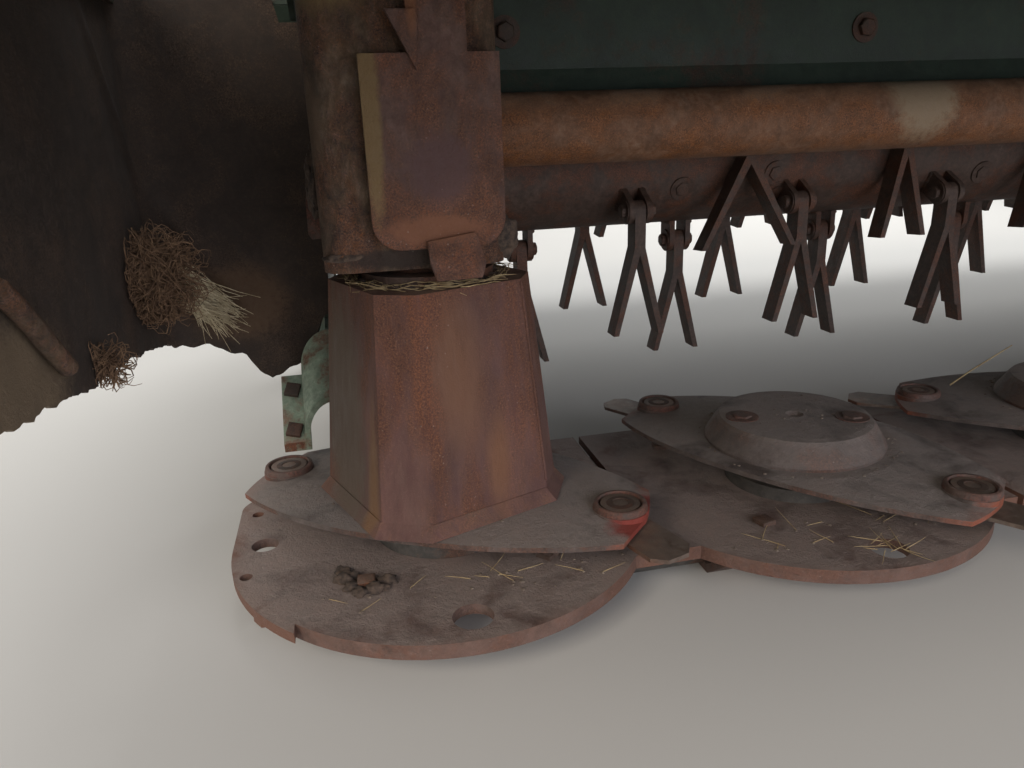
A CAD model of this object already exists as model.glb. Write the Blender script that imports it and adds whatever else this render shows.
# %% [markdown]
# # The header of a disc mower conditioner
#
# The model is a cutterbar with spinning discs, a rotor with forked tines behind it, and the sheet
# metal round them. The construction is already there, as a fixed frame of separate nodes in
# metres. This lesson gives each node its finish, and adds what a designer leaves out of a
# construction: bolts, welds, cloth, dirt and caught grass.

# %% Load the frame
import math
import random

import bpy
from mathutils import Matrix, Vector, noise


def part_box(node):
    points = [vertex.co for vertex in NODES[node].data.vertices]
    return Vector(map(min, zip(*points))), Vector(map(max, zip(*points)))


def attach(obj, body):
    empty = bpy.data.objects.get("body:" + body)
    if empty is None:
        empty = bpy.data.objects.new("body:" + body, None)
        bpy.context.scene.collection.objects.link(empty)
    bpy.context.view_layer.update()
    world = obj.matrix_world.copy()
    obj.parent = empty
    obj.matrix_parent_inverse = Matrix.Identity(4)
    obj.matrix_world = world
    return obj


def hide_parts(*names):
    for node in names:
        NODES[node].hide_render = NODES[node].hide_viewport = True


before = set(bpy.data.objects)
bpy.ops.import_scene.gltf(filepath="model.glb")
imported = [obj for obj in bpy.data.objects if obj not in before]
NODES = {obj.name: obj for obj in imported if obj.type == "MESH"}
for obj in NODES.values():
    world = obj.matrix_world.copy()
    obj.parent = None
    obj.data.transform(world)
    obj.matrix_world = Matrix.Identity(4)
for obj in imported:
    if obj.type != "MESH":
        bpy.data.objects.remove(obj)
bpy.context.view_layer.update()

MM = 0.001
print("nodes in the frame:", len(NODES))

# %% [markdown]
# ## Places that everything is measured from
#
# What pieces hang on is read from the nodes' boxes: the disc centres from the discs, the rotor's
# axis from the rotor, and the tops of plates, caps and turrets. Other places are typed in mm from
# the first disc, or from the last disc of a side, and above the ground.

# %% Places from the frame
DISCS = range(1, 7)
BOX = {name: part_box(name) for name in NODES}


def middle(node):
    low, high = BOX[node]
    return (low + high) / 2


def disc_centre(k):
    return middle(f"disc_{k}")


DISC_LINE = disc_centre(1).y
PITCH = disc_centre(2).x - disc_centre(1).x
DISC_TOP = BOX["disc_1"][1].z
ROTOR = middle("rotor")
print("first disc at", tuple(round(v, 3) for v in disc_centre(1)), "pitch", round(PITCH, 3))

# %% [markdown]
# ## The camera
#
# The photograph was taken from just ahead of the cutterbar, about 440 mm above the ground, with a
# short lens. The camera stands at the same place: it looks 12 degrees to the right, 18 degrees
# down, and leans 2 degrees. Its place is measured from the centre of the first disc.

# %% Place the camera
CAMERA_FROM_DISC = Vector((-0.0756, -0.7251, 0.0))
CAMERA_HEIGHT = 0.4387
YAW, PITCH_DOWN, LEAN = (math.radians(angle) for angle in (11.9, 18.2, 2.23))
LENS = 27.07
NEAREST = 0.02

forward = Vector((math.sin(YAW) * math.cos(PITCH_DOWN), math.cos(YAW) * math.cos(PITCH_DOWN),
                  -math.sin(PITCH_DOWN)))
right = Vector((math.cos(YAW), -math.sin(YAW), 0.0))
up = right.cross(forward)
leaned_right = right * math.cos(LEAN) - up * math.sin(LEAN)
leaned_up = right * math.sin(LEAN) + up * math.cos(LEAN)
camera_data = bpy.data.cameras.new("camera")
camera_data.lens = LENS
camera_data.clip_start = NEAREST
camera = bpy.data.objects.new("camera", camera_data)
bpy.context.scene.collection.objects.link(camera)
place = disc_centre(1) + CAMERA_FROM_DISC
place.z = CAMERA_HEIGHT
camera.matrix_world = Matrix.Translation(place) @ Matrix(
    (leaned_right, leaned_up, -forward)).transposed().to_4x4()
bpy.context.scene.camera = camera
print("camera at", tuple(round(v, 3) for v in place))

# %% [markdown]
# ## Colours and nodes
#
# Colours are written as they look on a screen, in hex, and one function turns them to the linear
# values that the shader needs. One small function adds any shader node, with its settings and
# links, so a material reads as a list of steps.

# %% A colour and a node helper


def linear(hex_colour):
    """The linear colour, with its alpha, of six hex digits as seen on a screen."""
    channels = [int(hex_colour[i:i + 2], 16) / 255 for i in (0, 2, 4)]
    return tuple(c / 12.92 if c < 0.04045 else ((c + 0.055) / 1.055) ** 2.4
                 for c in channels) + (1.0,)


def add(tree, kind, inputs=None, **settings):
    """Adds a node. An input is given a value, or another node's output to link to."""
    new = tree.nodes.new(kind)
    for name, value in settings.items():
        setattr(new, name, value)
    for name, value in (inputs or {}).items():
        socket = new.inputs[name]
        if isinstance(value, bpy.types.NodeSocket):
            tree.links.new(value, socket)
        else:
            socket.default_value = value
    return new


def new_material(name):
    """A material with an empty tree, ready for its own nodes."""
    made = bpy.data.materials.new(name)
    made.use_nodes = True
    made.node_tree.nodes.clear()
    return made, made.node_tree


print("middle grey, linear:", round(linear("808080")[0], 3))

# %% [markdown]
# ## Floor, background and light
#
# A plain pale floor and a soft light are enough. The white of the background is only for the
# camera and for reflections, so that it adds no light. The header is low and roofed, so two wide
# lamps stand in front of it, one high at the left where the sun was, and one low for the tines.
# Two more light its rear and its top. A disc-shaped lamp of three metres gives shadows with a soft
# edge, as a cloudy sky does.

# %% Floor
# Matt wall paint, rolled on: no gloss, so the eye sees only the soft shadow on it.
FLOOR_HALF = 12.0
bpy.ops.object.select_all(action="DESELECT")
bpy.ops.mesh.primitive_plane_add(size=2 * FLOOR_HALF)
floor = bpy.context.object
floor.name = "floor"
floor_paint, tree = new_material("matt_studio_floor")
shader = add(tree, "ShaderNodeBsdfPrincipled", {"Base Color": linear("c3c1bc"), "Roughness": 0.95})
add(tree, "ShaderNodeOutputMaterial", {"Surface": shader.outputs[0]})
floor.data.materials.append(floor_paint)
print("floor:", 2 * FLOOR_HALF, "m square")

# %% World
SKY_STRENGTH = 0.55
world = bpy.data.worlds.new("studio")
bpy.context.scene.world = world
world.use_nodes = True
tree = world.node_tree
tree.nodes.clear()
paths = add(tree, "ShaderNodeLightPath")
seen = add(tree, "ShaderNodeMath", {0: paths.outputs["Is Camera Ray"],
                                    1: paths.outputs["Is Glossy Ray"]}, operation="MAXIMUM")
light = add(tree, "ShaderNodeBackground", {"Color": linear("e8ecf2"), "Strength": SKY_STRENGTH})
white = add(tree, "ShaderNodeBackground", {"Color": linear("f4f4f2"), "Strength": 1.0})
mixed = add(tree, "ShaderNodeMixShader", {0: seen.outputs[0], 1: light.outputs[0],
                                          2: white.outputs[0]})
add(tree, "ShaderNodeOutputWorld", {"Surface": mixed.outputs[0]})
print("world light:", SKY_STRENGTH)

# %% Lamps
# name, place, target, width in metres, watts, colour
LAMPS = (("key_lamp", (-4.6, -4.6, 3.9), (-0.8, -0.2, 0.2), 3.2, 270, "fff4e6"),
         ("low_lamp", (0.6, -3.6, 0.9), (-0.4, 0.0, 0.25), 2.6, 80, "f4f4ff"),
         ("rear_lamp", (1.5, 3.4, 2.4), (0.0, 0.3, 0.3), 2.4, 90, "ffffff"),
         ("top_lamp", (0.0, -0.2, 4.0), (0.0, 0.0, 0.4), 3.0, 100, "ffffff"))
for name, at, target, width, watts, colour in LAMPS:
    data = bpy.data.lights.new(name, "AREA")
    data.shape = "DISK"
    data.size = width
    data.energy = watts
    data.color = linear(colour)[:3]
    lamp = bpy.data.objects.new(name, data)
    bpy.context.scene.collection.objects.link(lamp)
    lamp.location = at
    lamp.rotation_euler = (Vector(target) - Vector(at)).to_track_quat("-Z", "Y").to_euler()
bpy.context.scene.view_settings.view_transform = "Standard"
print("lamps:", len(LAMPS))

# %% [markdown]
# ## Old painted steel
#
# Most of the machine is mild steel that was painted and then left outside. What the eye sees is
# paint in broad faded patches, rust where it wore through, pale dust on what faces up, and fine
# grit everywhere. A photograph could be laid on, but it would fit one side only, so the wear is
# made of noise, each at the real size of what it stands for. The same steps make each finish, with
# the colours and sizes of its own surface, so each step is a function that takes a colour and
# gives back a changed one.
#
# Noise has most of its values between 0.3 and 0.7. A Map Range from one value in that span to
# another turns it into a mask: the closer the two values, the sharper the edge.

# %% The patterns of wear


def wear_patterns(tree, patch_mm, spot_mm, grit_mm, streak):
    """Noise at the size of paint patches, rust spots and grit. A streak draws it out upright."""
    where = add(tree, "ShaderNodeTexCoord")
    place = where.outputs["Object"]
    grown = add(tree, "ShaderNodeMapping", {"Vector": place, "Scale": (1, 1, 1 - 0.85 * streak)})
    wear = {"place": place, "normal": where.outputs["Normal"]}
    # name, which places it reads, its size in mm, detail, roughness, distortion
    for name, places, size_mm, detail, roughness, distortion in (
            ("patches", grown.outputs[0], patch_mm, 7.0, 0.62, 0.35),
            ("spots", grown.outputs[0], spot_mm, 6.0, 0.7, 0.0),
            ("grit", place, grit_mm, 3.0, 0.75, 0.0),
            ("clouds", grown.outputs[0], 0.35 * patch_mm, 5.0, 0.66, 0.6)):
        made = add(tree, "ShaderNodeTexNoise", {
            "Vector": places, "Scale": 1 / (size_mm * MM), "Detail": detail,
            "Roughness": roughness, "Distortion": distortion})
        wear[name] = made.outputs["Fac"]
        wear[f"{name}_colour"] = made.outputs["Color"]
    return wear


# %% Paint worn through to rust


def coat_and_rust(tree, wear, coat, faded, rust, dark_rust, rust_share, mottle):
    """The colour of paint with rust in patches, and the mask of the rust."""
    fading = add(tree, "ShaderNodeMapRange", {0: wear["spots"], 1: 0.38, 2: 0.66})
    coat_mix = add(tree, "ShaderNodeMix", {
        0: fading.outputs[0], 6: linear(coat), 7: linear(faded)}, data_type="RGBA")
    grains = add(tree, "ShaderNodeMapRange", {0: wear["grit"], 1: 0.35, 2: 0.65})
    rust_mix = add(tree, "ShaderNodeMix", {
        0: grains.outputs[0], 6: linear(dark_rust), 7: linear(rust)}, data_type="RGBA")
    # seven parts of the patches and three of the spots give a patch its ragged edge
    broad = add(tree, "ShaderNodeMath", {0: wear["patches"], 1: 0.7}, operation="MULTIPLY")
    rusty = add(tree, "ShaderNodeMath", {0: wear["spots"], 1: 0.3, 2: broad.outputs[0]},
                operation="MULTIPLY_ADD")
    edge = 0.5 + 0.25 * (0.5 - rust_share)
    rust_mask = add(tree, "ShaderNodeMapRange", {
        0: rusty.outputs[0], 1: edge - 0.05, 2: edge + 0.05})
    both = add(tree, "ShaderNodeMix", {
        0: rust_mask.outputs[0], 6: coat_mix.outputs[2], 7: rust_mix.outputs[2]},
        data_type="RGBA")
    tone = add(tree, "ShaderNodeMapRange", {
        0: wear["clouds"], 1: 0.32, 2: 0.68, 3: 1 - 0.55 * mottle, 4: 1 + 0.45 * mottle})
    tint = add(tree, "ShaderNodeMapRange", {
        0: wear["spots"], 1: 0.3, 2: 0.7, 3: 1 + 0.3 * mottle, 4: 1 - 0.3 * mottle})
    toned = add(tree, "ShaderNodeHueSaturation", {
        "Value": tone.outputs[0], "Saturation": tint.outputs[0], "Color": both.outputs[2]})
    return toned.outputs[0], rust_mask.outputs[0]


# %% A rusty rim round a disc


def rusty_rim(tree, wear, colour, centre, rim, rim_colour):
    """Changes to rust between two distances in mm from an upright centre line."""
    ragged = 0.03
    moved = add(tree, "ShaderNodeVectorMath", {0: wear["place"], 1: centre},
                operation="SUBTRACT")
    flat = add(tree, "ShaderNodeVectorMath", {0: moved.outputs[0], 1: (1, 1, 0)},
               operation="MULTIPLY")
    far = add(tree, "ShaderNodeVectorMath", {0: flat.outputs[0]}, operation="LENGTH")
    uneven = add(tree, "ShaderNodeMath", {0: wear["spots"], 1: ragged, 2: far.outputs["Value"]},
                 operation="MULTIPLY_ADD")
    mask = add(tree, "ShaderNodeMapRange", {
        0: uneven.outputs[0], 1: rim[0] * MM + ragged / 2, 2: rim[1] * MM + ragged / 2})
    return add(tree, "ShaderNodeMix", {0: mask.outputs[0], 6: colour, 7: linear(rim_colour)},
               data_type="RGBA").outputs[2]


# %% Dust on what faces up


def dusted(tree, wear, colour, dust, dust_share, dust_soft):
    """Dust in patches on what faces up, and single specks of it everywhere."""
    faces = add(tree, "ShaderNodeSeparateXYZ", {0: wear["normal"]})
    lying = add(tree, "ShaderNodeMapRange", {0: faces.outputs[2], 1: 0.35, 2: 0.95})
    edge = 0.62 - 0.4 * dust_share
    patchy = add(tree, "ShaderNodeMapRange", {0: wear["patches"], 1: edge, 2: edge + dust_soft})
    speck = add(tree, "ShaderNodeMapRange", {0: wear["grit"], 1: 0.60, 2: 0.72, 4: 0.45})
    film = add(tree, "ShaderNodeMath", {0: lying.outputs[0], 1: patchy.outputs[0]},
               operation="MULTIPLY")
    either = add(tree, "ShaderNodeMath", {0: film.outputs[0], 1: speck.outputs[0]},
                 operation="MAXIMUM")
    share = add(tree, "ShaderNodeMath", {0: either.outputs[0], 1: dust_share},
                operation="MULTIPLY")
    return add(tree, "ShaderNodeMix", {0: share.outputs[0], 6: colour, 7: linear(dust)},
               data_type="RGBA").outputs[2]


# %% Stains, patches of paint and bright chips


def stained(tree, wear, colour, marks):
    """A mark is a stain or a patch of paint: its middle, its reach in mm each way, its colour."""
    for spot, reach, stain in marks:
        near = add(tree, "ShaderNodeVectorMath", {0: wear["place"], 1: spot},
                   operation="SUBTRACT")
        share = add(tree, "ShaderNodeVectorMath", {
            0: near.outputs[0], 1: [1 / (mm * MM) for mm in reach]}, operation="MULTIPLY")
        far = add(tree, "ShaderNodeVectorMath", {0: share.outputs[0]}, operation="LENGTH")
        torn = add(tree, "ShaderNodeMath", {
            0: wear["spots"], 1: 0.9, 2: far.outputs["Value"]}, operation="MULTIPLY_ADD")
        mark = add(tree, "ShaderNodeMapRange", {
            0: torn.outputs[0], 1: 1.15, 2: 1.6, 3: 0.9, 4: 0.0})
        colour = add(tree, "ShaderNodeMix", {0: mark.outputs[0], 6: colour, 7: linear(stain)},
                     data_type="RGBA").outputs[2]
    return colour


def chipped(tree, wear, colour, chips):
    """Small bright chips, bent out of round, and only in some places."""
    chip_mm, bend_mm = 8, 3
    bent = add(tree, "ShaderNodeVectorMath", {
        0: wear["grit_colour"], 1: (bend_mm * MM,) * 3, 2: wear["place"]},
        operation="MULTIPLY_ADD")
    cells = add(tree, "ShaderNodeTexVoronoi", {
        "Vector": bent.outputs[0], "Scale": 1 / (chip_mm * MM)})
    chip = add(tree, "ShaderNodeMapRange", {
        0: cells.outputs["Distance"], 1: 0.06, 2: 0.11, 3: chips, 4: 0.0})
    some = add(tree, "ShaderNodeMapRange", {0: wear["patches"], 1: 0.46, 2: 0.58})
    shown = add(tree, "ShaderNodeMath", {0: chip.outputs[0], 1: some.outputs[0]},
                operation="MULTIPLY")
    return add(tree, "ShaderNodeMix", {0: shown.outputs[0], 6: colour, 7: linear("b0a399")},
               data_type="RGBA").outputs[2]


# %% Weathered metal, all steps together


def weathered(name, coat, faded, rust, dark_rust, dust, rust_share=0.45, dust_share=0.5,
              patch_mm=70, spot_mm=9, grit_mm=1.6, streak=0.0, rough=0.72, bump_mm=0.5,
              metal=0.0, centre=None, rim=None, rim_colour="74452f", marks=(),
              dust_soft=0.16, chips=0.0, mottle=0.5):
    """Steel with worn paint, then rust, dust, marks and chips, and the relief of its rust.

    Chips and mottle are strengths: of the bright chips, and of the tone's swing from place to
    place. A soft dust fades out slowly where a sheet is smooth.
    """
    made, tree = new_material(name)
    wear = wear_patterns(tree, patch_mm, spot_mm, grit_mm, streak)
    colour, rust_mask = coat_and_rust(tree, wear, coat, faded, rust, dark_rust, rust_share,
                                      mottle)
    if rim:
        colour = rusty_rim(tree, wear, colour, centre, rim, rim_colour)
    colour = dusted(tree, wear, colour, dust, dust_share, dust_soft)
    colour = stained(tree, wear, colour, marks)
    if chips:
        colour = chipped(tree, wear, colour, chips)
    dull = add(tree, "ShaderNodeMapRange", {
        0: wear["spots"], 1: 0.3, 2: 0.7, 3: rough - 0.12, 4: rough + 0.16})
    fine = add(tree, "ShaderNodeMath", {0: rust_mask, 1: 0.5, 2: wear["grit"]},
               operation="MULTIPLY_ADD")
    height = add(tree, "ShaderNodeMath", {0: wear["spots"], 1: 1.2, 2: fine.outputs[0]},
                 operation="MULTIPLY_ADD")
    bump = add(tree, "ShaderNodeBump", {
        "Height": height.outputs[0], "Distance": bump_mm * MM, "Strength": 0.8})
    shader = add(tree, "ShaderNodeBsdfPrincipled", {
        "Base Color": colour, "Roughness": dull.outputs[0], "Metallic": metal,
        "Normal": bump.outputs[0]})
    add(tree, "ShaderNodeOutputMaterial", {"Surface": shader.outputs[0]})
    return made


# %% [markdown]
# ## The finish of each part
#
# Each finish starts from what the real surface is and how it was made, and the comment over it
# says what that gives the eye. Rust and dried paint are no metals to light, so Metallic stays at 0
# but for the worn blades and the shaft's bright steel. Marks are the stains that the photograph
# shows, each placed in mm from the first disc's centre line.

# %% Places from the first disc
FIRST = Vector((disc_centre(1).x, DISC_LINE, 0.0))


def from_first(x, y, z):
    """A place in mm from the first disc's centre line, and above the ground."""
    return FIRST + Vector((x, y, z)) * MM


print("first disc's centre line:", tuple(round(v, 3) for v in FIRST))

# %% Finishes of the drive and the tube
# Welded plate, painted, its paint burnt to a purplish brown: streaks run down the flat sides.
turret_rust = weathered(
    "rusted_turret_paint", coat="553a35", faded="67493f", rust="74462c", dark_rust="43281f",
    dust="9a8878", rust_share=0.5, dust_share=0.45, patch_mm=90, spot_mm=14, streak=0.8,
    rough=0.75, chips=0.4, bump_mm=0.9, mottle=0.45,
    marks=((from_first(-96, -30, 200), (26, 70, 150), "5a4b3d"),
           (from_first(-76, -80, 210), (12, 14, 190), "765638"),
           (from_first(20, -104, 250), (34, 30, 90), "6b4a36"),
           (from_first(48, -96, 160), (16, 24, 60), "704c35")))
# Rolled steel, bare for years: rust has lifted in scales, so it is the roughest of all.
sleeve_rust = weathered(
    "scaled_rust", coat="4b3b2e", faded="6b5945", rust="714a33", dark_rust="32251d",
    dust="8a7965", rust_share=0.5, dust_share=0.4, patch_mm=46, spot_mm=6, streak=0.45,
    bump_mm=1.8, chips=0.25, mottle=1.0,
    marks=((from_first(-80, -50, 560), (50, 40, 30), "705c3e"),
           (from_first(-92, -20, 450), (14, 60, 40), "5d4a38"),
           (from_first(-20, -60, 338), (60, 20, 10), "2c211b")))
# Pressed sheet with worn paint: mottled, with an ochre edge where crop rubbed it.
shroud_rust = weathered(
    "shroud_rust", coat="553f39", faded="6d544a", rust="784c34", dark_rust="452f28",
    dust="93806f", rust_share=0.5, dust_share=0.4, patch_mm=60, spot_mm=7, streak=0.3,
    bump_mm=1.4, chips=0.25, mottle=0.6,
    marks=((from_first(-44, -68, 455), (9, 20, 85), "796342"),
           (from_first(2, -68, 362), (44, 20, 12), "7a5039"),
           (from_first(-6, -68, 560), (6, 20, 50), "805439"),
           (from_first(10, -68, 410), (30, 20, 30), "59413f")))
# Drawn tube, painted: an even orange rust, and one patch of pale paint that is left.
tube_rust = weathered(
    "rusted_tube", coat="654632", faded="7f6049", rust="8a5a35", dark_rust="53331f",
    dust="a48f7c", rust_share=0.5, dust_share=0.45, patch_mm=55, spot_mm=7,
    marks=((from_first(560, 50, 470), (42, 60, 60), "8f7d66"),))

# %% Finishes of sheet metal and cloth
# Rolled sheet, sprayed dark green: smooth and half matt, faded under a soft film of dust.
green_paint = weathered(
    "dark_green_paint", coat="1b2a20", faded="2b392d", rust="4a3222", dark_rust="281f18",
    dust="565a4c", rust_share=0.16, dust_share=0.42, patch_mm=150, spot_mm=10, rough=0.6,
    bump_mm=0.3, dust_soft=0.75)
# Bent flat bar, brushed with a paler green: chalky, and rusty in small patches.
pale_green = weathered(
    "pale_green_paint", coat="7d8b78", faded="9aa68f", rust="7c4a2d", dark_rust="523222",
    dust="b3ab99", rust_share=0.42, dust_share=0.4, patch_mm=40, spot_mm=6)
# Woven cloth coated with rubber, calendered: dull and nearly black under brown dust and stains.
curtain_cloth = weathered(
    "rubberised_cloth", coat="2b221c", faded="3d3129", rust="4d3c2f", dark_rust="261d18",
    dust="6f6253", rust_share=0.4, dust_share=0.3, patch_mm=80, spot_mm=5, rough=0.85,
    marks=((from_first(-280, -230, 290), (30, 95, 55), "6d5d49"),
           (from_first(-200, 195, 262), (60, 30, 45), "54402f"),
           (from_first(-270, 110, 300), (20, 70, 40), "3a2a1f")))

# %% Finishes of worn steel and cast iron
# Forged tines and a welded tube, polished by crop and rusted again: dark, with little relief.
dark_steel = weathered(
    "worn_dark_steel", coat="43332b", faded="5c4a3f", rust="71462f", dark_rust="3d271d",
    dust="85776a", rust_share=0.45, dust_share=0.35, patch_mm=50, spot_mm=6, rough=0.65)
# Pressed cups and thick washers: small patches of red rust on a dark skin.
cup_rust = weathered(
    "rusted_cup", coat="4a3a33", faded="5f4c43", rust="704435", dark_rust="33231c",
    dust="7d7066", rust_share=0.5, dust_share=0.35, patch_mm=20, spot_mm=4, rough=0.7)
# Forged bolt heads, plated once: dark brown, with a grit finer than the sheet's.
bolt_steel = weathered(
    "rusted_bolt", coat="33281f", faded="493a32", rust="5e3b29", dark_rust="281b15",
    dust="7d7064", rust_share=0.5, dust_share=0.25, patch_mm=18, spot_mm=3, grit_mm=0.9,
    rough=0.65, bump_mm=0.3)
# Hardened spring steel, ground and worn by crop: some of its metal still shines through.
blade_steel = weathered(
    "blade_steel", coat="5a4c43", faded="74665b", rust="774a33", dark_rust="4c3023",
    dust="8f8275", rust_share=0.4, metal=0.4, rough=0.5)
# Sand-cast iron, oily: grey, and dull where dust stuck to the oil.
gear_grey = weathered(
    "oily_cast_iron", coat="3b3834", faded="55504a", rust="63422f", dark_rust="33271f",
    dust="8c8272", rust_share=0.25)
# Ground shaft steel, kept bright by the sliding yoke: a dull mirror under a little rust.
shaft_steel = weathered(
    "bright_shaft_steel", coat="8b8680", faded="a39d95", rust="7d5b45", dark_rust="5a4436",
    dust="a89f92", rust_share=0.15, metal=0.9, rough=0.35, bump_mm=0.1)

# %% Finishes of the discs and plates
RED_PAINT = "7e2f24"


def disc_steel(k):
    """Pressed steel disc: grey with caked dust, its rim rusty, and red paint left on the first."""
    marks = ()
    if k == 1:
        marks = ((from_first(172, -128, 88), (36, 22, 40), RED_PAINT),
                 (from_first(196, -92, 88), (20, 26, 40), RED_PAINT))
    return weathered(f"dusty_disc_steel_{k}", coat="4d433e", faded="625751", rust="654638",
                     dark_rust="41332c", dust="8a8079", rust_share=0.42, dust_share=0.72,
                     patch_mm=60, spot_mm=9, grit_mm=2.2, bump_mm=1.2, chips=0.4, mottle=0.6,
                     centre=disc_centre(k), rim=(194, 214), rim_colour="84462f", marks=marks)


def skid_steel(k):
    """Hot-rolled plate that slides on the ground: dusty brown on top, its worn lip reddish."""
    return weathered(f"dusty_skid_steel_{k}", coat="57463f", faded="6b5952", rust="6e4a3c",
                     dark_rust="48352c", dust="8e8179", rust_share=0.5, dust_share=0.68,
                     patch_mm=60, spot_mm=9, grit_mm=2.2, bump_mm=1.2, chips=0.4, mottle=0.6,
                     centre=disc_centre(k), rim=(197, 214), rim_colour="6b4a3b")


BY_FINISH = {
    green_paint: ["main_beam", "hood_front", "hood_top", "side_frame_left", "side_frame_right",
                  "swath_board", "swath_door_left", "swath_door_right", "canopy", "front_guard",
                  "curtain_rail_left", "curtain_rail_right", "belt_cover", "lift_lugs",
                  "rear_foot_left", "rear_foot_right"],
    turret_rust: ["turret_1", "turret_6"],
    sleeve_rust: ["drive_sleeve"],
    shroud_rust: ["sleeve_shroud"],
    tube_rust: ["cross_tube"],
    pale_green: ["arch_bracket_left", "arch_bracket_right"],
    dark_steel: ["drive_shaft", "rotor"] + [f"tines_{r}" for r in range(1, 7)],
    gear_grey: ["gearbox", "cutterbar"],
    shaft_steel: ["input_shaft"],
    curtain_cloth: ["curtain_left", "curtain_right"],
    blade_steel: [f"knives_{k}" for k in DISCS],
}
for k in DISCS:
    BY_FINISH[disc_steel(k)] = [name for name in (f"disc_{k}", f"hub_cap_{k}") if name in NODES]
    BY_FINISH[skid_steel(k)] = [f"skid_{k}"]
for material, names in BY_FINISH.items():
    for name in names:
        NODES[name].data.materials.clear()
        NODES[name].data.materials.append(material)
print("nodes dressed:", sum(len(names) for names in BY_FINISH.values()), "of", len(NODES))

# %% [markdown]
# ## Helpers for new pieces
#
# Every new piece ends the same way: what is live on it is applied, its place goes into its mesh, it
# gets its finish, and it rides on the body that carries it. What repeats, such as a bolt, is
# modelled once, copied to its places and joined, so that one row of bolts is one piece.

# %% Directions and places
FRONT, REAR, UP = (0, -1, 0), (0, 1, 0), (0, 0, 1)
SIDES = (-1, 1)


def outside(side, out, y, z):
    """A place in mm outward from the last disc of one side."""
    last = disc_centre(1 if side < 0 else 6).x
    return Vector((last + side * out * MM, DISC_LINE + y * MM, z * MM))


def round_from(centre, radius, angle, height):
    """A place at a radius in mm round an upright line, at a height in metres."""
    return Vector((centre.x + math.cos(angle) * radius * MM,
                   centre.y + math.sin(angle) * radius * MM, height))


def disc_axis(k):
    return Vector((disc_centre(k).x, DISC_LINE, 0))


def facing(place, axis, turn=0.0):
    """A matrix that puts a model at a place with its +Z along an axis."""
    return (Matrix.Translation(place) @ Vector(axis).to_track_quat("Z", "Y").to_matrix().to_4x4()
            @ Matrix.Rotation(turn, 4, "Z"))


print("disc axes at x:", [round(disc_axis(k).x, 2) for k in DISCS])

# %% Select, settle, copy and join


def alone(piece=None):
    """Leaves one piece selected and active, or none."""
    bpy.ops.object.select_all(action="DESELECT")
    if piece:
        piece.select_set(True)
        bpy.context.view_layer.objects.active = piece


def settle(piece, name, material, body="frame", smooth=40):
    """Applies a piece's modifiers and place, dresses it and lets it ride on its body."""
    alone(piece)
    for modifier in list(piece.modifiers):
        bpy.ops.object.modifier_apply(modifier=modifier.name)
    bpy.ops.object.transform_apply(location=True, rotation=True, scale=True)
    bpy.ops.object.shade_smooth_by_angle(angle=math.radians(smooth))
    piece.name = piece.data.name = name
    piece.data.materials.clear()
    piece.data.materials.append(material)
    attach(piece, body)
    return piece


def joined(*pieces):
    """Joins pieces into the first of them."""
    alone(pieces[0])
    for piece in pieces:
        piece.select_set(True)
    bpy.ops.object.join()
    return bpy.context.object


def copies(model, places):
    """Copies a model to each place, each copy with its own mesh, and joins them."""
    made = []
    for matrix in places:
        copy = model.copy()
        copy.data = model.data.copy()
        bpy.context.scene.collection.objects.link(copy)
        copy.matrix_world = matrix
        made.append(copy)
    bpy.context.view_layer.update()
    return joined(*made)


# %% Work a face by insets


def choose_faces(piece, wanted):
    """In edit mode, selects the faces whose centre and normal pass a test."""
    bpy.ops.object.mode_set(mode="OBJECT")
    for part in (piece.data.vertices, piece.data.edges, piece.data.polygons):
        part.foreach_set("select", [False] * len(part))
    for face in piece.data.polygons:
        face.select = wanted(face.center, face.normal)
    bpy.ops.object.mode_set(mode="EDIT")
    bpy.ops.mesh.select_mode(type="FACE")


def stepped(piece, steps):
    """Works the top face by insets: each step is (width, rise) in mm."""
    top = max(v.co.z for v in piece.data.vertices)
    choose_faces(piece, lambda centre, normal: normal.z > 0.9 and centre.z > top - 0.1 * MM)
    for width, rise in steps:
        bpy.ops.mesh.inset(thickness=width * MM, depth=rise * MM)
    bpy.ops.object.mode_set(mode="OBJECT")
    return piece


def turned(radius, depth, corners, start=0):
    """A short upright cylinder round the origin that starts at a height in mm."""
    alone()
    bpy.ops.mesh.primitive_cylinder_add(
        vertices=corners, radius=radius * MM, depth=depth * MM,
        location=(0, 0, (start + depth / 2) * MM))
    bpy.ops.object.transform_apply(location=True, rotation=True, scale=True)
    return bpy.context.object


# %% [markdown]
# ## Bolts
#
# A farm machine is held by plain hexagon bolts on flat washers. The head's top is chamfered, so it
# is a low cylinder with six corners whose top face is inset and lifted. The knives hang on special
# round heads that sit in a raised cup, as the photograph shows beside the red paint. A lathe turns
# such a cup ring by ring, and insets do the same to a flat face: each one goes in by a width and
# up or down by a rise, so the profile can be read from its list of steps.

# %% Bolt models
WASHER_T = 2.0


def hexagon_bolt(across, height):
    """A hexagon head on its washer, from its width across the flats."""
    washer = turned(radius=across * 0.95, depth=WASHER_T, corners=20)
    head = turned(radius=across / math.sqrt(3), depth=height * 0.8, corners=6, start=WASHER_T)
    return joined(washer, stepped(head, [(across * 0.09, height * 0.2), (across * 0.08, 0.0)]))


def square_bolt(across, height):
    """A square head with a chamfered top."""
    head = turned(radius=across / math.sqrt(2), depth=height * 0.85, corners=4)
    return stepped(head, [(across * 0.1, height * 0.15)])


HEX_16 = hexagon_bolt(across=24, height=9)
HEX_10 = hexagon_bolt(across=17, height=7)
FLAT_HEX = hexagon_bolt(across=19, height=2.6)
SQUARE_10 = square_bolt(across=16, height=6)
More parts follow.
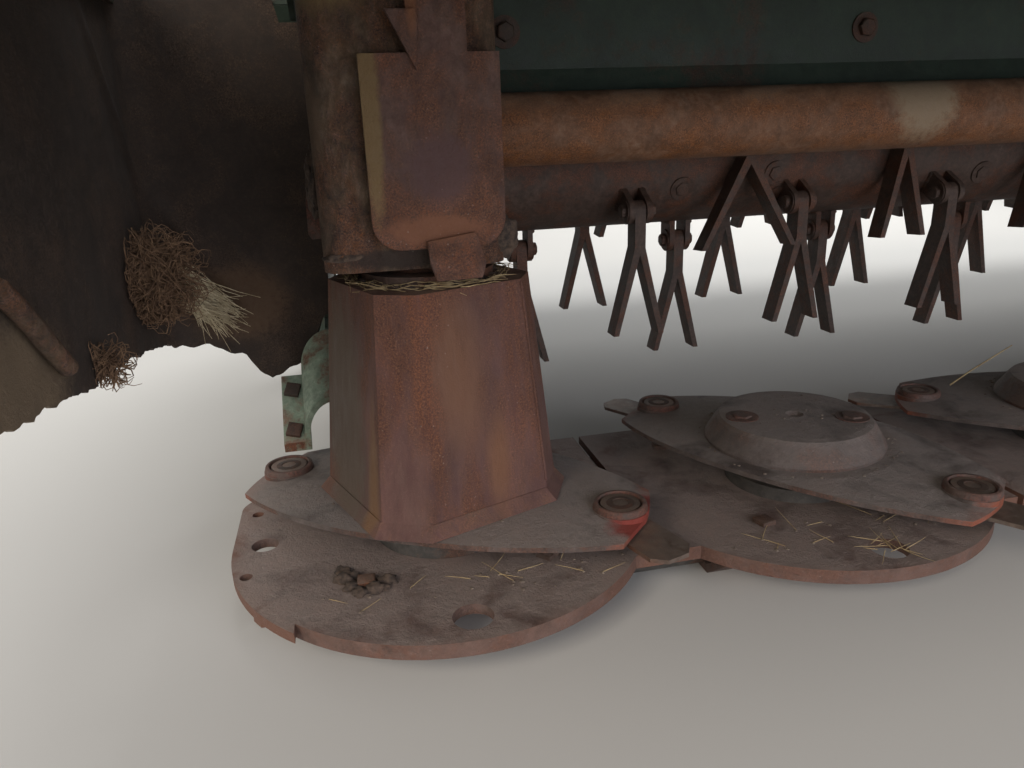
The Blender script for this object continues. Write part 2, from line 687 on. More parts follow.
# the raised cup round a knife bolt, and the worn head down in it, with a dent in its middle
CUP = stepped(turned(radius=26.5, depth=0.6, corners=40),
              [(1.2, 4.6), (1.0, 1.0), (2.4, 0.0), (0.8, -1.2), (0.4, -4.0), (3.0, 0.0)])
CUP_HEAD = stepped(turned(radius=15.6, depth=2.2, corners=32, start=1.2),
                   [(1.0, 1.1), (2.6, 0.7), (4.2, 0.2), (0.8, -1.0), (2.5, -0.4)])
MODELS = [HEX_16, HEX_10, FLAT_HEX, SQUARE_10, CUP, CUP_HEAD]
print("bolt models:", [len(model.data.polygons) for model in MODELS], "faces")

# %% [markdown]
# ## Knife bolts, cap bolts and plate bolts
#
# Each knife bolt's cup stands on the raised ring of its disc, at both ends of the disc. Two worn,
# flat bolts hold each hub cap, and four small square ones hold each plate to the gear case. Discs
# beside each other stand turned by different angles, so that their knives miss each other, and
# the bolts follow those angles.

# %% Bolts of the discs
KNIFE_BOLT, CAP_BOLT = 185, 60
DISC_TURNS = (math.radians(-31), math.radians(121))
CAP_TURNS = (math.radians(50), math.radians(211))
CUP_SEAT = 4.8
for k in DISCS:
    body = f"cutting_disc_{k}"
    turn = DISC_TURNS[(k + 1) % 2]
    seat = BOX[f"knives_{k}"][1].z - CUP_SEAT * MM
    places = [facing(round_from(disc_axis(k), s * KNIFE_BOLT, turn, seat), UP, k) for s in SIDES]
    settle(copies(CUP, places), f"knife_bolt_cups_{k}", cup_rust, body, 50)
    settle(copies(CUP_HEAD, places), f"knife_bolt_heads_{k}", bolt_steel, body)
    if f"hub_cap_{k}" in NODES:
        seat = BOX[f"hub_cap_{k}"][1].z - MM
        places = [facing(round_from(disc_axis(k), CAP_BOLT, turn + a, seat), UP, turn + a)
                  for a in CAP_TURNS]
        settle(copies(FLAT_HEX, places), f"hub_cap_bolts_{k}", cup_rust, body)
print("knife bolts:", 2 * len(DISCS), "on a circle of", KNIFE_BOLT, "mm")

# %% Bolts of the plates
PLATE_TOP = BOX["skid_2"][1].z
PLATE_BOLTS = ((-86, -94), (86, -94), (-110, 120), (110, 120))
places = [facing(disc_axis(k) + Vector((x * MM, y * MM, PLATE_TOP - MM / 2)), UP, 0.3 * k + x)
          for k in DISCS for x, y in PLATE_BOLTS]
settle(copies(SQUARE_10, places), "plate_bolts", dark_steel)
print("plate bolts:", len(places))

# %% [markdown]
# ## Pins of the tines
#
# Each forked tine hangs on a pin between two lugs. The pin has a head on one side and a nut on the
# other. The rows are spread round the rotor and shifted along it, as in the construction.

# %% Pin heads on the rotor
PIN_CIRCLE, LUG_FACE = 117, 17
TINE_PITCH, TINES_IN_ROW = 255, 8
ROTOR_END = BOX["rotor"][1].x - 0.12
# each row's angle in degrees, and its first tine in mm from the first disc
ROWS = ((-150, 83), (-90, 188), (-30, 65), (30, 133), (90, 188), (150, 247))


def tine_places():
    """The number, x and outward direction of each tine."""
    for angle, first in ROWS:
        out = Vector((0, math.cos(math.radians(angle)), math.sin(math.radians(angle))))
        for i in range(TINES_IN_ROW):
            x = FIRST.x + (first + TINE_PITCH * i) * MM
            if x <= ROTOR_END:
                yield i, x, out


places = [facing(Vector((x + s * LUG_FACE * MM, ROTOR.y, ROTOR.z)) + out * PIN_CIRCLE * MM,
                 (s, 0, 0), i)
          for i, x, out in tine_places() for s in SIDES]
settle(copies(HEX_10, places), "tine_pin_heads", dark_steel, "tine_rotor")
print("pin heads:", len(places))

# %% [markdown]
# ## Welds
#
# A weld is a bead of metal with a ripple every few millimetres, one for each dip of the welder's
# rod. It is drawn as a curve whose radius swells and shrinks, and then made a mesh. The beads lie
# along the two rear corners of each turret, round the feet of the lift lugs, at the root of each
# tine's lugs, where the cross tube meets the sleeve and the frame, and at the frame's front edges.

# %% Tubes and beads
RIPPLE = 3.2


def drawn(lines, radius, resolution=1):
    """Tubes along lines of (place, swell) pairs, as one mesh."""
    alone()
    bpy.ops.curve.primitive_nurbs_path_add()
    tube = bpy.context.object
    tube.data.splines.clear()
    tube.data.bevel_depth = radius * MM
    tube.data.bevel_resolution = resolution
    tube.data.use_fill_caps = True
    for line in lines:
        spline = tube.data.splines.new("POLY")
        spline.points.add(len(line) - 1)
        for point, (place, swell) in zip(spline.points, line):
            point.co = (*place, 1)
            point.radius = swell
    bpy.ops.object.convert(target="MESH")
    return bpy.context.object


def bead(lines, radius, seed):
    """Rippled beads along polylines given in metres."""
    chance = random.Random(seed)

    def shake(size):
        return Vector([chance.uniform(-size, size) for axis in range(3)])

    rippled = []
    for line in lines:
        points = []
        for start, end in zip(line, line[1:]):
            count = max(1, round((end - start).length / (RIPPLE / 2 * MM)))
            points += [start.lerp(end, i / count) for i in range(count)]
        points.append(line[-1])
        rippled.append([(place + shake(0.35 * MM),
                         (1.12 if i % 2 else 0.86) * chance.uniform(0.85, 1.15))
                        for i, place in enumerate(points)])
    return drawn(rippled, radius)


# %% Welds of the turrets
TURRET_FLAT, TURRET_CORNER, TURRET_TAPER = 97, 114, 0.815
TURRET_TURN = math.radians(21)
REAR_CORNERS = (2, 6)


def turret_corners(flat, corner, height):
    """The eight corners of the bevelled square, in mm from the disc's centre."""
    cut = corner * math.sqrt(2) - flat
    outline = [(flat, cut), (cut, flat), (-cut, flat), (-flat, cut), (-flat, -cut),
               (-cut, -flat), (cut, -flat), (flat, -cut)]
    cos, sin = math.cos(TURRET_TURN), math.sin(TURRET_TURN)
    return [Vector((x * cos - y * sin, x * sin + y * cos, height)) * MM for x, y in outline]


for k in (1, 6):
    top = BOX[f"turret_{k}"][1].z / MM
    low = [disc_axis(k) + v for v in turret_corners(TURRET_FLAT, TURRET_CORNER, DISC_TOP / MM)]
    high = [disc_axis(k) + v for v in turret_corners(TURRET_FLAT * TURRET_TAPER,
                                                     TURRET_CORNER * TURRET_TAPER, top)]
    seams = [[low[i].lerp(high[i], 0.09), low[i].lerp(high[i], 0.985)] for i in REAR_CORNERS]
    settle(bead(seams, radius=1.6, seed=10 + k), f"turret_welds_{k}", turret_rust,
           f"cutting_disc_{k}", 60)
print("turret seams:", round((seams[0][1] - seams[0][0]).length, 3), "m long")

# %% Welds of the frame
BEAM_TOP, LUG_Y = BOX["main_beam"][1].z / MM, 80
LUG_PLATES = [x + shift for x in (520, 1480) for shift in (-37, 37)]
FOOT = ((-7, -51), (7, -51), (7, 51), (-7, 51), (-7, -51))
EDGE_OUT, EDGE_LINE = 107, ((24, 640), (150, 640), (150, 728))
TUBE_Y, TUBE_Z, TUBE_BEAD = 80, 439, 37.5
TUBE_ENDS = (68, 2098)


def ring(centre, axis, radius, corners=28):
    """A closed ring of places round an axis, in metres."""
    turn = facing(centre, axis)
    return [turn @ Vector((math.cos(a) * radius * MM, math.sin(a) * radius * MM, 0))
            for a in (2 * math.pi * i / corners for i in range(corners + 1))]


feet = [[from_first(x + dx, LUG_Y + dy, BEAM_TOP + 2) for dx, dy in FOOT] for x in LUG_PLATES]
edges = [[outside(side, EDGE_OUT, y, z) for y, z in EDGE_LINE] for side in SIDES]
tube_ends = [ring(from_first(x, TUBE_Y, TUBE_Z), (1, 0, 0), TUBE_BEAD) for x in TUBE_ENDS]
settle(bead(feet + edges, radius=3.2, seed=31), "frame_welds", green_paint, "frame",
       60)
settle(bead(tube_ends, radius=3.6, seed=32), "cross_tube_welds", tube_rust, "frame",
       60)
print("frame welds:", len(feet + edges + tube_ends), "lines")

# %% Welds of the tine lugs
ROOT_X, ROOT_R, ROOT_HALF = 17.5, 88.5, 17
lug_roots = []
for i, x, out in tine_places():
    wide = Vector((0, -out.z, out.y)) * ROOT_HALF * MM
    for s in SIDES:
        root = Vector((x + s * ROOT_X * MM, ROTOR.y, ROTOR.z)) + out * ROOT_R * MM
        lug_roots.append([root - wide, root + wide])
settle(bead(lug_roots, radius=2.6, seed=33), "tine_lug_welds", dark_steel, "tine_rotor",
       60)
print("lug welds:", len(lug_roots))

# %% [markdown]
# ## The side curtains
#
# Each curtain is one cloth of rubberised fabric, bolted to its rail: it runs along the side of the
# canopy and turns inwards behind the last disc. Years of crop have torn its lower edge. A cloth
# simulation would fold it freely, but stiff old fabric on a rail holds its known waves, so it is a
# grid whose columns follow the rail round the corner, and its waves are slow noise that grows
# towards the hem. It gets the real cloth's thickness at the end.

# %% Outline of a curtain
CLOTH_T, CAD_T = 4.4, 5
CURTAIN_TOP, CURTAIN_LOWEST = 578, 165
SIDE_X = 280 + CAD_T / 2
CROSS_Y = 197.5
FRONT_Y = -403
CROSS_END = {-1: 96, 1: 120}
CORNER_R = 26
CLOTH_ORIGIN = 280
STRAIGHT = CROSS_Y - CORNER_R - FRONT_Y
BEND = CORNER_R * math.pi / 2
# the hem's height at each place: along the side from the front, then inward across the rear
HEM = ((-403, 290), (-330, 286), (-253, 282), (-210, 273), (-155, 270), (-90, 258), (-36, 253),
       (40, 246), (107, 237), (170, 226), (200, 219))
CROSS_HEM = ((0, 219), (25, 214), (40, 217), (60, 206), (80, 199), (92, 182), (101, 171),
             (112, 170), (122, 175), (134, 181), (147, 187), (155, 198), (160, 205), (172, 238),
             (184, 242))
FLAP_TOP = ((118, 556), (122, 578))


def along(table, at):
    """Reads a value from a table of (place, value) pairs."""
    for (x0, y0), (x1, y1) in zip(table, table[1:]):
        if at <= x1:
            return y0 + (y1 - y0) * max(0.0, (at - x0) / (x1 - x0))
    return table[-1][1]


def rail_path(at):
    """Place (outward, back) in mm and inward normal at a distance along the rail."""
    if at < STRAIGHT:
        return SIDE_X, FRONT_Y + at, (-1, 0)
    if at < STRAIGHT + BEND:
        a = (at - STRAIGHT) / CORNER_R
        return (SIDE_X - CORNER_R + CORNER_R * math.cos(a),
                CROSS_Y - CORNER_R + CORNER_R * math.sin(a), (-math.cos(a), -math.sin(a)))
    return SIDE_X - CORNER_R - (at - STRAIGHT - BEND), CROSS_Y, (0, -1)


def rail_length(side):
    """The cloth's flat width: the rail's straight side, its bend and its inward end."""
    return STRAIGHT + BEND + SIDE_X - CORNER_R - CROSS_END[side]


print("curtains along their rails:", [round(rail_length(side)) for side in SIDES], "mm")

# %% Waves of the cloth
# depth in mm, length along and down in mm, seed
WAVES = ((5.5, 120, 260, 2.0), (2.2, 38, 60, 5.0))
# depth in mm, length in mm, seed
FRAYS = ((5, 13, 3), (2.5, 4, 7))


def fray(side, at):
    """How far the torn hem hangs higher or lower than its line, in mm."""
    return sum(depth * noise.noise(Vector((at / length, side * seed, 0)))
               for depth, length, seed in FRAYS)


def swing(side, at, z, down):
    """How far the cloth stands off its rail's line, in mm: waves, one crease, a curled hem."""
    waves = down ** 0.7 * sum(
        depth * noise.noise(Vector((at / wide, z / tall, side * seed)))
        for depth, wide, tall, seed in WAVES)
    crease = at - (470 + (CURTAIN_TOP - z) * 0.66)
    curl = max(0.0, down - 0.93) / 0.07 * noise.noise(Vector((at / 30, 4, side)))
    return waves + 3.0 * math.exp(-(crease / 9) ** 2) - 1.5 + 4.0 * curl


print("fray at the first column:", round(fray(-1, 0), 2), "mm")

# %% Hang the curtains
COLUMNS, LINES = 180, 60
FLAT_OUT = 165


def curtain(side):
    """The cloth of one side, and the area that it is cut to."""
    alone()
    bpy.ops.mesh.primitive_grid_add(x_subdivisions=COLUMNS, y_subdivisions=LINES, size=2)
    cloth = bpy.context.object
    for vertex in cloth.data.vertices:
        at = (vertex.co.x + 1) / 2 * rail_length(side)
        down = (1 - vertex.co.y) / 2
        out, back, normal = rail_path(at)
        across = normal[1] < -0.7
        hem = along(CROSS_HEM, CLOTH_ORIGIN - out) if across else along(HEM, back)
        top = along(FLAP_TOP, out)
        z = top - (top - hem - fray(side, at)) * down
        shift = swing(side, at, z, down)
        if across and out < FLAT_OUT:        # near its end it is held almost flat
            shift = min(4.0, max(-6.0, shift))
        vertex.co = outside(side, out + normal[0] * shift, back + normal[1] * shift, z)
    cut = sum(face.area for face in cloth.data.polygons)
    thick = cloth.modifiers.new("cloth_thickness", "SOLIDIFY")
    thick.thickness = CLOTH_T * MM
    thick.offset = 0
    return cloth, cut


for side, name in ((-1, "left"), (1, "right")):
    cloth, cut = curtain(side)
    settle(cloth, f"curtain_cloth_{name}", curtain_cloth, "frame", 60)
    alone(cloth)
    bpy.ops.object.mode_set(mode="EDIT")
    bpy.ops.mesh.select_all(action="SELECT")
    bpy.ops.mesh.normals_make_consistent(inside=False)
    bpy.ops.object.mode_set(mode="OBJECT")
    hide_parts(f"curtain_{name}")
    print(name, "curtain cut area:", round(cut, 4), "m2")

# %% [markdown]
# ## Straps on the sheet metal
#
# The thin sheets of the hood, the canopy and the swath board would drum and bend, so straps that
# follow their shape hold them stiff. A strap could be a curve with a flat profile, but a grid bent
# along a line keeps its width square to the sheet, and takes the thickness of the steel at the end.
# Its middle is raised a little, as a rolled strap's is.

# %% Straps
STRAP_T, STRAP_SEAT, STRAP_ROLL = 4, 2.2, 1.4
WORN_EDGE = 0.8
HOOD_STRAPS = (150, 575, 1000, 1425, 1850)
CANOPY_STRAPS = (-200, 400, 1000, 1600, 2200)
HOOD_R = 327
ROTOR_Y, ROTOR_Z = 430, 382
DECK_TOP, CANOPY_TOP = 564, 644
BOARD_Y, BOARD_Z, SLOPE = 915, 560, math.radians(30)


def thickened(piece, thickness, edge):
    """Gives a surface the thickness of its steel and small worn edges, in mm."""
    thick = piece.modifiers.new("steel_thickness", "SOLIDIFY")
    thick.thickness = thickness * MM
    thick.offset = 0
    worn = piece.modifiers.new("worn_edges", "BEVEL")
    worn.width = edge * MM
    worn.segments = 2
    return piece


def straps(line, width, xs, name, body="frame"):
    """Equal straps along a line of (back, up) places in mm, at some places along x."""
    alone()
    bpy.ops.mesh.primitive_grid_add(x_subdivisions=2, y_subdivisions=len(line) - 1, size=2)
    model = bpy.context.object
    for vertex in model.data.vertices:
        back, high = line[round((vertex.co.y + 1) / 2 * (len(line) - 1))]
        across = 1 if vertex.co.x > 0.5 else -1 if vertex.co.x < -0.5 else 0
        lift = 0 if across else STRAP_ROLL
        vertex.co = Vector((across * width / 2 * MM, DISC_LINE + back * MM, (high + lift) * MM))
    thickened(model, STRAP_T, WORN_EDGE)
    places = [Matrix.Translation((FIRST.x + x * MM, 0, 0)) for x in xs]
    settle(copies(model, places), name, green_paint, body, 50)
    bpy.data.objects.remove(model)


def on_board(down, lift):
    """A place (back, up) in mm down the swath board's slope, lifted off its face."""
    return (BOARD_Y + down * math.cos(SLOPE) + lift * math.sin(SLOPE),
            BOARD_Z - down * math.sin(SLOPE) + lift * math.cos(SLOPE))


hood_line = [(ROTOR_Y + (HOOD_R + STRAP_SEAT) * math.cos(math.radians(a)),
              ROTOR_Z + (HOOD_R + STRAP_SEAT) * math.sin(math.radians(a)))
             for a in range(124, 39, -6)]
hood_line.append((860, DECK_TOP + STRAP_SEAT + 45 * 0.13))
canopy_line = [(-398 + 400 * i / 6, CANOPY_TOP + STRAP_SEAT) for i in range(7)]
board_line = [on_board(down, 4.2) for down in (28, 90, 160, 222)]
straps(hood_line, 46, HOOD_STRAPS, "hood_straps")
straps(canopy_line, 52, CANOPY_STRAPS, "canopy_straps")
straps(board_line, 46, HOOD_STRAPS, "swath_board_straps", "rear_board")
print("straps:", 2 * len(HOOD_STRAPS) + len(CANOPY_STRAPS))

# %% [markdown]
# ## Bolts of the frame
#
# Bolts hold the straps, the frame plates, the gearbox and the feet, each on the face that it
# clamps. A place is the middle of the washer's underside and the face's outward direction, so a
# list of places is all that a row of bolts needs. Each bolt stands turned by its own angle, because
# a wrench stops anywhere.

# %% Bolts of the straps
board_up = (0, math.sin(SLOPE), math.cos(SLOPE))
places = [facing(from_first(x, *on_board(down, 7)), board_up, x)
          for x in HOOD_STRAPS for down in (50, 200)]
settle(copies(HEX_10, places), "swath_board_bolts", bolt_steel, "rear_board")
print("bolts of the board's straps:", len(places))

# %% The belt's line, which the cover follows
BELT_LOW = from_first(0, ROTOR_Y, ROTOR_Z)
BELT_HIGH = from_first(0, 300, 855)
BELT_R, BELT_LENGTH, COVER_OUT = 70, 490.5, 180
belt = BELT_HIGH - BELT_LOW
belt_up = belt.normalized()
belt_wide = Vector((0, belt_up.z, -belt_up.y))
print("belt's length between its pulleys:", round(belt.length, 4), "m")

# %% Bolts of the front sheet, canopy and hood
SHEET_BOLT, SHEET_STEP = (109, 120, 535), 418          # the first one's place, and the step in x
CANOPY_BOLT_Y, CANOPY_STEP = -380, 360
STRAP_BOLT_HALF = 15
HOOD_BOLT_ANGLES, HOOD_SEAT = (112, 58), 5.4
x, y, z = SHEET_BOLT
frame_bolts = [facing(from_first(x + SHEET_STEP * i, y, z), FRONT, 0.4 * i) for i in range(5)]
frame_bolts += [facing(from_first(x + dx, CANOPY_BOLT_Y + CANOPY_STEP * j, CANOPY_TOP + 5), UP,
                       x + j)
                for x in CANOPY_STRAPS for dx in (-STRAP_BOLT_HALF, STRAP_BOLT_HALF)
                for j in (0, 1)]
for x in HOOD_STRAPS:
    for angle in HOOD_BOLT_ANGLES:
        out = Vector((0, math.cos(math.radians(angle)), math.sin(math.radians(angle))))
        seat = from_first(x, ROTOR_Y, ROTOR_Z) + out * (HOOD_R + HOOD_SEAT) * MM
        frame_bolts.append(facing(seat, out, x))
print("bolts of sheets and straps:", len(frame_bolts))

# %% Bolts of the side frames and feet
ARC_ANGLES, ARC_R = (48, 68, 88, 108, 128), 305
FACE_BOLTS = ((870, 520), (870, 400), (870, 200), (700, 150), (215, 300))
SIDE_FACE = 106
FOOT_FACE, FOOT_Y, FOOT_BOLTS = 152, 810, (110, 240)
BEHIND_COVER = 100
for side in SIDES:
    face = (side, 0, 0)
    for angle in ARC_ANGLES:
        y = ARC_R * math.cos(math.radians(angle))
        z = ARC_R * math.sin(math.radians(angle))
        if side > 0 or abs(y * belt_wide.y + z * belt_wide.z) >= BEHIND_COVER:
            frame_bolts.append(facing(outside(side, SIDE_FACE, ROTOR_Y + y, ROTOR_Z + z), face,
                                      angle))
    frame_bolts += [facing(outside(side, SIDE_FACE, y, z), face, y) for y, z in FACE_BOLTS]
    frame_bolts += [facing(outside(side, FOOT_FACE, FOOT_Y, z), face, z) for z in FOOT_BOLTS]
print("with those of the side frames:", len(frame_bolts))

# %% Bolts of the gearbox
INPUT_Z = 870
NOSE_FACE, SEAL_FACE = -40, -45
NOSE_BOLTS = [(x, z) for x in (-80, 80) for z in (798, 941)]
SEAL_BOLT_R = 56
frame_bolts += [facing(from_first(x, NOSE_FACE, z), FRONT, x + z) for x, z in NOSE_BOLTS]
for i in range(4):
    a = math.radians(45 + 90 * i)
    frame_bolts.append(facing(from_first(
        SEAL_BOLT_R * math.cos(a), SEAL_FACE, INPUT_Z + SEAL_BOLT_R * math.sin(a)), FRONT, a))
settle(copies(HEX_10, frame_bolts), "frame_bolts", bolt_steel)
print("frame bolts in all:", len(frame_bolts))

# %% Bolts of the belt cover
places = []
for share in (0.12, 0.5, 0.88):
    for s in SIDES:
        along_belt = belt_up * BELT_LENGTH * share * MM
        places.append((BELT_LOW + along_belt + belt_wide * s * BELT_R * MM, share))
places.append((BELT_LOW - belt_up * BELT_R * MM, 0.2))
places.append((BELT_HIGH + belt_up * BELT_R * MM, 0.2))
cover_face = outside(-1, COVER_OUT, 0, 0).x
settle(copies(HEX_10, [facing(Vector((cover_face, place.y, place.z)), (-1, 0, 0), turn)
                       for place, turn in places]), "belt_cover_bolts", bolt_steel)
print("cover bolts:", len(places))

# %% [markdown]
# ## Covers and caps
#
# What turns inside is reached through covers: round hatches over the two pulleys, square cast
# covers on the gearbox, the seal round its input shaft, and a bearing cap on the rotor's right end.
# A flat face worked ring by ring by insets gets the steps and rims that a casting has, and its
# bolts are joined to it.

# %% Hatches of the belt cover
# the lower hatch is a flat plate, and the upper one, which is let in 1.57 mm, has a rim and a
# raised middle
HATCH_STEPS = [(3, 2.0), (9, 0.0), (2, -1.6), (16, 0.0), (2, 1.2)]
low_hatch = turned(radius=46, depth=3, corners=48)
high_hatch = stepped(turned(radius=47.634, depth=6.1397, corners=48, start=-1.5697), HATCH_STEPS)
for hatch, place in ((low_hatch, BELT_LOW), (high_hatch, BELT_HIGH)):
    hatch.matrix_world = facing(Vector((cover_face, place.y, place.z)), (-1, 0, 0))
settle(joined(low_hatch, high_hatch), "belt_cover_hatches", green_paint, "frame",
       35)
print("hatches: one at each pulley")

# %% Covers of the gearbox
COVER_T, COVER_MARGIN = 7, 11
COVER_STEPS = [(22, 0.0), (2.5, 5.0), (8, 0.0), (2, -2.0)]
SEAL_STEPS = [(3, 1.0), (12, 0.0), (2, 4.0), (5, 0.0), (2, -3.0)]


def square_cover(width, height):
    """A cast cover with a raised middle and a bolt at each corner and side."""
    alone()
    bpy.ops.mesh.primitive_cube_add(size=1, location=(0, 0, COVER_T / 2 * MM))
    made = bpy.context.object
    made.scale = (width * MM, height * MM, COVER_T * MM)
    bpy.ops.object.transform_apply(location=True, rotation=True, scale=True)
    stepped(made, COVER_STEPS)
    spots = [(x * (width / 2 - COVER_MARGIN), y * (height / 2 - COVER_MARGIN), COVER_T)
             for x in (-1, 0, 1) for y in (-1, 0, 1) if x or y]
    return joined(made, copies(HEX_10, [Matrix.Translation(Vector(spot) * MM)
                                        for spot in spots]))


covers = []
for model, place, axis in (
        (square_cover(width=150, height=140), from_first(95, 45, INPUT_Z), (1, 0, 0)),
        (square_cover(width=90, height=110), from_first(0, 370, 855), REAR),
        (stepped(turned(radius=68, depth=5, corners=56), SEAL_STEPS),
         from_first(0, NOSE_FACE, INPUT_Z), FRONT),
        (hexagon_bolt(across=22, height=8), from_first(-60, NOSE_FACE, 830), FRONT)):
    model.matrix_world = facing(place, axis)
    covers.append(model)
settle(joined(*covers), "gearbox_covers", gear_grey, "frame", 35)
print("gearbox covers, seal and plug:", len(covers))

# %% Bearing cap of the rotor
CAP_T, CAP_BOLT_R = 9, 62
CAP_STEPS = [(18, 0.0), (2.0, 9.0), (10, 2.0), (1.5, -2.5), (14, 0.0), (4.0, 3.0)]
turns = [0.8 + 1.571 * i for i in range(4)]
heads = copies(HEX_16, [facing(round_from(Vector(), CAP_BOLT_R, a, CAP_T * MM), UP, a)
                        for a in turns])
cap = joined(stepped(turned(radius=74, depth=CAP_T, corners=48), CAP_STEPS), heads)
cap.matrix_world = facing(outside(1, SIDE_FACE, ROTOR_Y, ROTOR_Z), (1, 0, 0))
settle(cap, "rotor_bearing_cap", gear_grey, "frame", 35)
print("bearing cap with", len(turns), "bolts")

# %% Bolts of the arch brackets and the rotor's tube
ARCH_OUT, ARCH_FOOT = 150.5, 118
ARCH_COS, ARCH_SIN = 0.643, 0.766
places = [facing(outside(side, ARCH_OUT, ARCH_FOOT + ARCH_COS * 4 + ARCH_SIN * t,
                         ARCH_FOOT - ARCH_SIN * 4 + ARCH_COS * t), (0, -ARCH_COS, ARCH_SIN), 0.5)
          for side in SIDES for t in (12, 66)]
settle(copies(SQUARE_10, places), "arch_bracket_bolts", bolt_steel)
TUBE_R = 87.6
TUBE_BOLTS = ((415, 345, 348), (561, 345, 365), (570, 345, 332), (925, 345, 348),
              (1071, 345, 365), (1435, 345, 348), (1581, 345, 365), (1590, 345, 332))
on_tube = []
for x, y, z in TUBE_BOLTS:
    out = Vector((0, y - ROTOR_Y, z - ROTOR_Z)).normalized()
    on_tube.append(facing(from_first(x, ROTOR_Y, ROTOR_Z) + out * TUBE_R * MM, out, x))
settle(copies(FLAT_HEX, on_tube), "rotor_tube_bolts", dark_steel, "tine_rotor")
print("bolts of arches and tube:", len(places) + len(on_tube))

# %% [markdown]
# ## The splined input shaft
#
# The driveline's yoke slides on six splines and is locked by a ball in a groove near the end. The
# shaft is turned and milled from one bar: a plain neck, the splines, the groove, more splines and
# the tip. A cutter leaves straight grooves, so each vertex of a plain cylinder is moved in or out
# by its angle alone, with a short slope at each flank.

# %% Input shaft
SPLINES = 6
SHAFT_R, GROOVE_R = 17.5, 14.8
FLANK_START, FLANK = 0.2, 0.06


def splined(depth, start):
    """A length of splined shaft that starts at a height, in mm."""
    piece = turned(SHAFT_R, depth, 96, start)
    for vertex in piece.data.vertices:
        a = math.atan2(vertex.co.y, vertex.co.x)
        share = (a * SPLINES / (2 * math.pi)) % 1
        high = min(1.0, max(0.0, (abs(share - 0.5) - FLANK_START) / FLANK))
        radius = GROOVE_R + (SHAFT_R - GROOVE_R) * high
        vertex.co.x, vertex.co.y = math.cos(a) * radius * MM, math.sin(a) * radius * MM
    return piece


shaft = joined(turned(radius=SHAFT_R, depth=18, corners=64),
               splined(depth=58, start=18),
               turned(radius=GROOVE_R - 1, depth=9, corners=64, start=76),
               splined(depth=24, start=85),
               turned(radius=GROOVE_R - 0.5, depth=1, corners=48, start=109))
seat = middle("input_shaft")
seat.y = BOX["input_shaft"][1].y
shaft.matrix_world = facing(seat, FRONT)
settle(shaft, "splined_input_shaft", shaft_steel, "power_shaft", 30)
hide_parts("input_shaft")
print("splines:", SPLINES)

# %% [markdown]
# ## Tabs on the sleeve
#
# Three small plates stand on the sleeve and its shroud in the photograph: a gusset on the shoulder,
# a bent tab over the turret, and a rusty one at the left. Each is a few worn corners with the
# plate's thickness between them.

# %% Small plates
PLATE_EDGE = 0.7
# name, thickness in mm, material, corners in mm from the first disc
PLATES = (
    ("shroud_gusset", 5, shroud_rust,
     ((-27, -70.5, 531), (-2, -70.5, 531), (-2, -70.5, 522), (-5, -70.5, 487))),
    ("shroud_tab", 4, shroud_rust,
     ((-6, -70.5, 352), (36, -70.5, 358), (43, -76, 332), (38, -83, 321), (-1, -82, 320),
      (-5, -75, 334))),
    ("sleeve_side_tab", 6, cup_rust,
     ((-92, 60, 386), (-106, 62, 384), (-107, 62, 350), (-104, 63, 345), (-92, 62, 345))))
for name, thickness, material, corners in PLATES:
    alone()
    bpy.ops.mesh.primitive_circle_add(vertices=len(corners), radius=1, fill_type="NGON")
    plate = bpy.context.object
    for vertex, corner in zip(plate.data.vertices, corners):
        vertex.co = from_first(*corner)
    thickened(plate, thickness, PLATE_EDGE)
    settle(plate, name, material, "frame", 40)
print("small plates:", len(PLATES))

# %% [markdown]
# ## Caught grass and dirt
#
# A machine that has stood since its last cut still holds dry grass: a ball of it in the corner of
# the curtain, with a bleached tail, chaff on the turret's rim under the drive, and bits of straw
# and crumbs of soil on everything that lies flat. Hair particles would need a live system, so a
# strand is a thin tapering tube that turns a little at each step, and a ball keeps its strands
# from straying. Soil is lumps with a rough skin, half sunk in what they lie on.

# %% Grass and soil finishes


def fibrous(name, dark, light, scale_mm):
    """Dry plant fibre or soil: two colours in fine streaks, dull and rough."""
    made, tree = new_material(name)
    where = add(tree, "ShaderNodeTexCoord")
    streaks = add(tree, "ShaderNodeTexNoise", {
        "Vector": where.outputs["Object"], "Scale": 1 / (scale_mm * MM), "Detail": 4.0,
        "Roughness": 0.7})
    share = add(tree, "ShaderNodeMapRange", {0: streaks.outputs[0], 1: 0.36, 2: 0.64})
    mix = add(tree, "ShaderNodeMix", {
        0: share.outputs[0], 6: linear(dark), 7: linear(light)}, data_type="RGBA")
    bump = add(tree, "ShaderNodeBump", {
        "Height": streaks.outputs[0], "Distance": 0.4 * MM, "Strength": 0.7})
    shader = add(tree, "ShaderNodeBsdfPrincipled", {
        "Base Color": mix.outputs[2], "Roughness": 0.9, "Normal": bump.outputs[0]})
    add(tree, "ShaderNodeOutputMaterial", {"Surface": shader.outputs[0]})
    return made


# Grass rotted brown in the damp, and grass and straw dried by the sun: paler the drier it is.
brown_grass = fibrous("brown_dry_grass", "4a3526", "7d6249", 9)
pale_grass = fibrous("bleached_grass", "8f7f63", "c9bd9f", 9)
straw = fibrous("straw", "8a7452", "b7a27a", 12)
# Loose soil is pale and crumbly, and soil caked with grease and plant juice is nearly black.
soil = fibrous("dry_soil", "5b4e45", "857869", 5)
caked_soil = fibrous("caked_soil", "2b2420", "5a4a3e", 7)
print("finishes of grass and soil: 5")

# %% Strands and lumps


def any_way(chance):
    """A direction that is equally likely all round."""
    return Vector([chance.gauss(0, 1) for axis in range(3)]).normalized()


